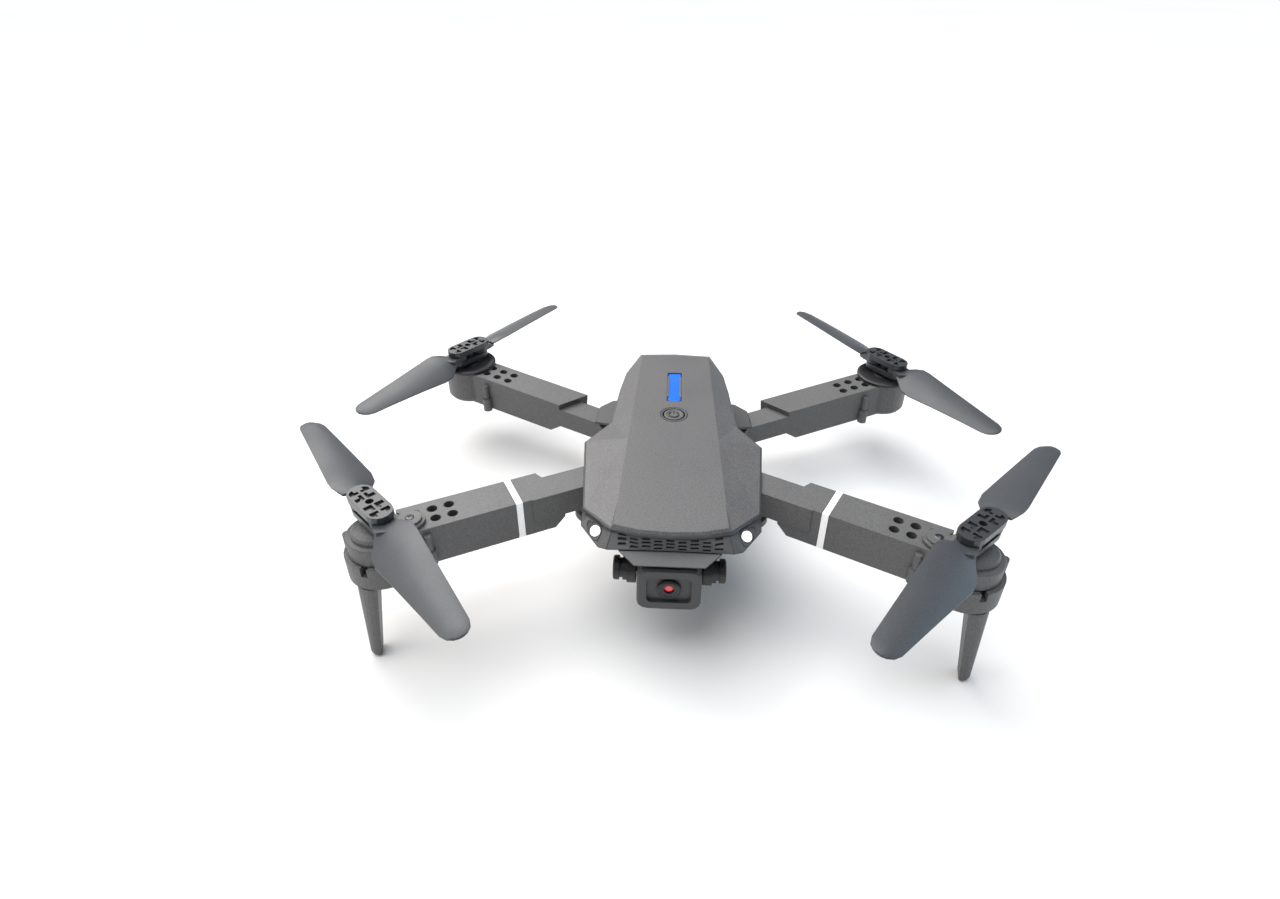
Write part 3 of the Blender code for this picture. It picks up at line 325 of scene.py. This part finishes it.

# ---------------------------------------------------------------- cover rim: dark band, partly a seam line and partly painted shade along the cover's sideways edge
NOSE_REACH = 3.1              # grille's foremost point ahead of the front line
front_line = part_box("nose_grille")[0].y / MM + NOSE_REACH
RIM_SECTION = ((-0.25, -0.28), (0.34, -0.28), (0.38, 0.2), (0.3, 0.62), (0.1, 0.8), (-0.25, 0.8))
RIM = [(0.0, -1.3, 48.5), (9.8, -0.7, 48.5), (19.2, 1.9, 48.4), (29.2, 14.4, 45.9), (32.8, 54.0, 45.9),
       (24.2, 68.0, 45.9), (22.3, 94.5, 45.9), (20.6, 108.4, 46.2), (15.2, 121.4, 48.4), (0.0, 122.4, 48.5)]
right = [Vector((x, front_line + d, z)) for x, d, z in RIM]
outline = right + [Vector((-p.x, p.y, p.z)) for p in reversed(right[1:-1])]
rings = []
for i, p in enumerate(outline):
    along = outline[(i + 1) % len(outline)] - outline[i - 1]
    out = Vector((along.y, -along.x, 0)).normalized()
    skirt = Vector((p.x * 1.008, p.y, p.z))
    rings.append([skirt + out * o + Vector((0, 0, up)) for o, up in RIM_SECTION])
piece("cover_rim_seam_and_shade", add_loft(bmesh.new(), rings, closed=True), "rim", "hull")


# ---------------------------------------------------------------- nose: black sheet of painted shade behind the grille, lamp recesses, ribs
def on_surface(tree, point, normal):
    hit = tree.ray_cast((point + normal * 6.0) * MM, -normal)[0]
    return (hit / MM) if hit else point


def relief(bm, tree, loop, normal, low, high):
    """A plate that follows the surface under its outline."""
    base = [on_surface(tree, p, normal) for p in loop]
    return add_loft(bm, [[p + normal * low for p in base], [p + normal * high for p in base]])


def band_around(bm, tree, outer, inner, normal, low, high):
    """A raised closed band between two outlines on a surface."""
    rings = []
    for a, b in zip(outer, inner):
        a, b = on_surface(tree, a, normal), on_surface(tree, b, normal)
        rings.append([a + normal * low, b + normal * low, b + normal * high, a + normal * high])
    return add_loft(bm, rings, closed=True)


grille_tree = BVHTree.FromObject(nodes["nose_grille"], bpy.context.evaluated_depsgraph_get())
UPPER = [(0.0, -1.3, 48.1), (9.6, -0.7, 48.1), (18.8, 1.9, 48.0)]
LOWER = [(0.0, -2.7, 44.3), (9.7, -2.8, 44.3), (20.0, -3.1, 44.2)]
SHADE_SHEET_FRONT, SHADE_SHEET_BACK = 1.95, 2.6     # depths of the black sheet of painted shade behind the grille's face
# a black sheet behind the grille slots: painted shade where the grey deck behind lies only in shadow
rings = []
for sign, order in ((-1, (2, 1)), (1, (0, 1, 2))):
    for k in order:
        high, low = (Vector((sign * p[0], front_line + p[1], p[2])) for p in (UPPER[k], LOWER[k]))
        inward = (Vector((0, front_line + 22.0, 0)) - Vector((high.x, high.y, 0))).normalized()
        high, low = high - Vector((0, 0, 0.3)), low + Vector((0, 0, 0.2))
        rings.append([high + inward * SHADE_SHEET_FRONT, low + inward * SHADE_SHEET_FRONT,
                      low + inward * SHADE_SHEET_BACK, high + inward * SHADE_SHEET_BACK])
piece("nose_grille_painted_shade_sheet", add_loft(bmesh.new(), rings), "black", "hull")

LOBE = ((21.2, 5.0, 47.3), (27.4, 12.8, 45.5), (23.2, -1.4, 43.6), (29.9, 9.4, 43.3))
LAMP = (24.3, 4.7, 45.1)      # headlight centre: side, behind the front line, height
BEZEL_SECTION = ((1.82, -0.6), (1.82, 0.35), (2.05, 0.62), (2.3, 0.45), (2.4, -0.6))
RECESS = ((0.06, 0.30), (0.10, 0.80), (0.30, 0.93), (0.62, 0.90), (0.86, 0.62), (0.90, 0.34), (0.55, 0.14))
for tag, side in (("left", 1), ("right", -1)):
    normal = Vector((side * 0.54, -0.28, 0.79)).normalized()
    t1, t2, b1, b2 = (Vector((side * x, front_line + d, z)) for x, d, z in LOBE)
    outer = [t1.lerp(t2, u).lerp(b1.lerp(b2, u), v) for u, v in RECESS]
    middle = sum(outer, Vector()) / len(outer)
    inner = [p.lerp(middle, 0.14) for p in outer]
    recess = relief(bmesh.new(), grille_tree, inner, normal, -0.3, 0.05)
    piece(f"headlight_recess_{tag}", recess, "hub", "hull")
    lamp_frame = band_around(bmesh.new(), grille_tree, outer, inner, normal, -0.3, 0.32)
    piece(f"headlight_frame_{tag}", lamp_frame, "trim", "hull", 0.08)
    rib = [Vector((side * x, front_line + d, z)) for x, d, z in
           ((18.9, 1.7, 47.8), (19.6, 2.4, 47.7), (21.4, -2.6, 44.2), (20.4, -2.9, 44.3))]
    facing = Vector((side * 0.35, -0.75, 0.55)).normalized()
    raised = relief(bmesh.new(), grille_tree, rib, facing, -0.4, 0.3)
    piece(f"nose_rib_{tag}", raised, "trim", "hull", 0.08)
    at_lamp = aimed((side * LAMP[0], front_line + LAMP[1], LAMP[2]), (side * 0.45, -0.62, 0.64))
    bezel = turned(bmesh.new(), BEZEL_SECTION, at_lamp, 32)
    piece(f"headlight_bezel_{tag}", bezel, "trim", "hull")

# ---------------------------------------------------------------- lens
barrel = centre_of("camera_lens_barrel")
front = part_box("camera_lens_barrel")[0].y / MM
ahead = Matrix.Translation((barrel.x, front, barrel.z)) @ Matrix.Rotation(radians(90.0), 4, "X")
iris = turned(bmesh.new(), [(1.65, -1.05), (1.72, -0.6), (2.55, -0.38), (2.62, -0.6), (2.5, -1.2)], ahead, 40)
piece("camera_iris_ring", iris, "glass", "camera")


# ---------------------------------------------------------------- screws
def screw(name, point, radius, body):
    """Upright pan-head screw with a cross recess."""
    matrix = aimed(point, (0, 0, 1))
    bm = bmesh.new()
    arm, half, rim = radius * 0.55, radius * 0.16, radius
    cross = [(arm, -half), (arm, half), (half, half), (half, arm), (-half, arm), (-half, half), (-arm, half),
             (-arm, -half), (-half, -half), (-half, -arm), (half, -arm), (half, -half)]
    outer = [(rim * cos(2 * pi * (i - 0.5) / 12), rim * sin(2 * pi * (i - 0.5) / 12)) for i in range(12)]
    levels = [(outer, -0.3), (outer, 0.05), ([(x * 0.86, y * 0.86) for x, y in outer], 0.2),
              (cross, 0.24), (cross, -0.1)]
    add_loft(bm, [[matrix @ Vector((x, y, z)) for x, y in ring] for ring, z in levels])
    piece(name, bm, "screw", body)


CAP_RISE = 2.2                # motor cap's top over the arm
HUB_DROP = 2.45               # lower clamp plate's face under the top of the upper one
for corner in ("front_left", "front_right", "rear_left", "rear_right"):
    if corner.startswith("front"):
        motor = centre_of(f"{corner}_motor")
        top = top_of(f"{corner}_arm") + CAP_RISE
        screw(f"{corner}_cap_screw", (motor.x, motor.y, top), 1.5, f"{corner}_arm")
    hub = centre_of(f"{corner}_hub_plate_upper")
    seat = top_of(f"{corner}_hub_plate_upper") - HUB_DROP
    screw(f"{corner}_hub_screw", (hub.x, hub.y, seat), 1.2, f"{corner}_propeller")

# ---------------------------------------------------------------- floor, light, camera
floor_mesh = bpy.data.meshes.new("floor")
floor_bm = bmesh.new()
slab(floor_bm, ((-12, -4), (12, -4), (12, 14), (-12, 14)), -0.02, -0.0002)     # metres
bmesh.ops.recalc_face_normals(floor_bm, faces=floor_bm.faces)
floor_bm.to_mesh(floor_mesh)
floor_bm.free()
floor = bpy.data.objects.new("floor", floor_mesh)
bpy.context.collection.objects.link(floor)
floor_mat, floor_tree, floor_shader = new_material("pale_floor")
floor_coords = floor_tree.nodes.new("ShaderNodeTexCoord").outputs["Object"]
floor_noise = noise(floor_tree, floor_coords, 2.0)
floor_tone = ramp(floor_tree, floor_noise, ((0.3, (0.80, 0.80, 0.80)), (0.7, (0.82, 0.82, 0.82))))
link(floor_tree, floor_tone, floor_shader.inputs["Base Color"])
floor_shader.inputs["Roughness"].default_value = 0.9
floor_mesh.materials.append(floor_mat)


def area(name, place, target, size, power, colour):
    lamp = bpy.data.lights.new(name, "AREA")
    lamp.shape = "DISK"
    lamp.size = size
    lamp.energy = power
    lamp.color = colour
    obj = bpy.data.objects.new(name, lamp)
    bpy.context.collection.objects.link(obj)
    obj.location = place
    obj.rotation_euler = (Vector(target) - Vector(place)).to_track_quat("-Z", "Y").to_euler()


area("softbox_back_left", (-0.50, 0.75, 0.85), (0, 0.0, 0.04), 0.9, 8.5, (1.0, 0.955, 0.92))
area("softbox_left", (-0.95, -0.15, 0.55), (0, 0, 0.03), 0.6, 2.2, (1.0, 0.90, 0.80))
area("softbox_right", (0.95, 0.15, 0.40), (0, 0, 0.03), 0.6, 2.0, (0.55, 0.78, 1.0))

sun_data = bpy.data.lights.new("overhead", "SUN")
sun_data.energy = 3.1
sun_data.angle = radians(70.0)
sun = bpy.data.objects.new("overhead", sun_data)
bpy.context.collection.objects.link(sun)
sun.rotation_euler = (radians(-8.0), radians(-14.0), 0.0)

world = bpy.data.worlds.new("studio")
bpy.context.scene.world = world
world.use_nodes = True
background = world.node_tree.nodes["Background"]
background.inputs["Color"].default_value = (0.93, 0.97, 1.0, 1.0)
background.inputs["Strength"].default_value = 0.32

camera_data = bpy.data.cameras.new("camera")
camera_data.lens = LENS
camera_data.sensor_width = 36.0
camera_data.clip_start = 0.01
camera = bpy.data.objects.new("camera", camera_data)
bpy.context.collection.objects.link(camera)
camera.matrix_world = Matrix(CAMERA_ROWS)
bpy.context.scene.camera = camera
bpy.context.scene.view_settings.view_transform = "Standard"
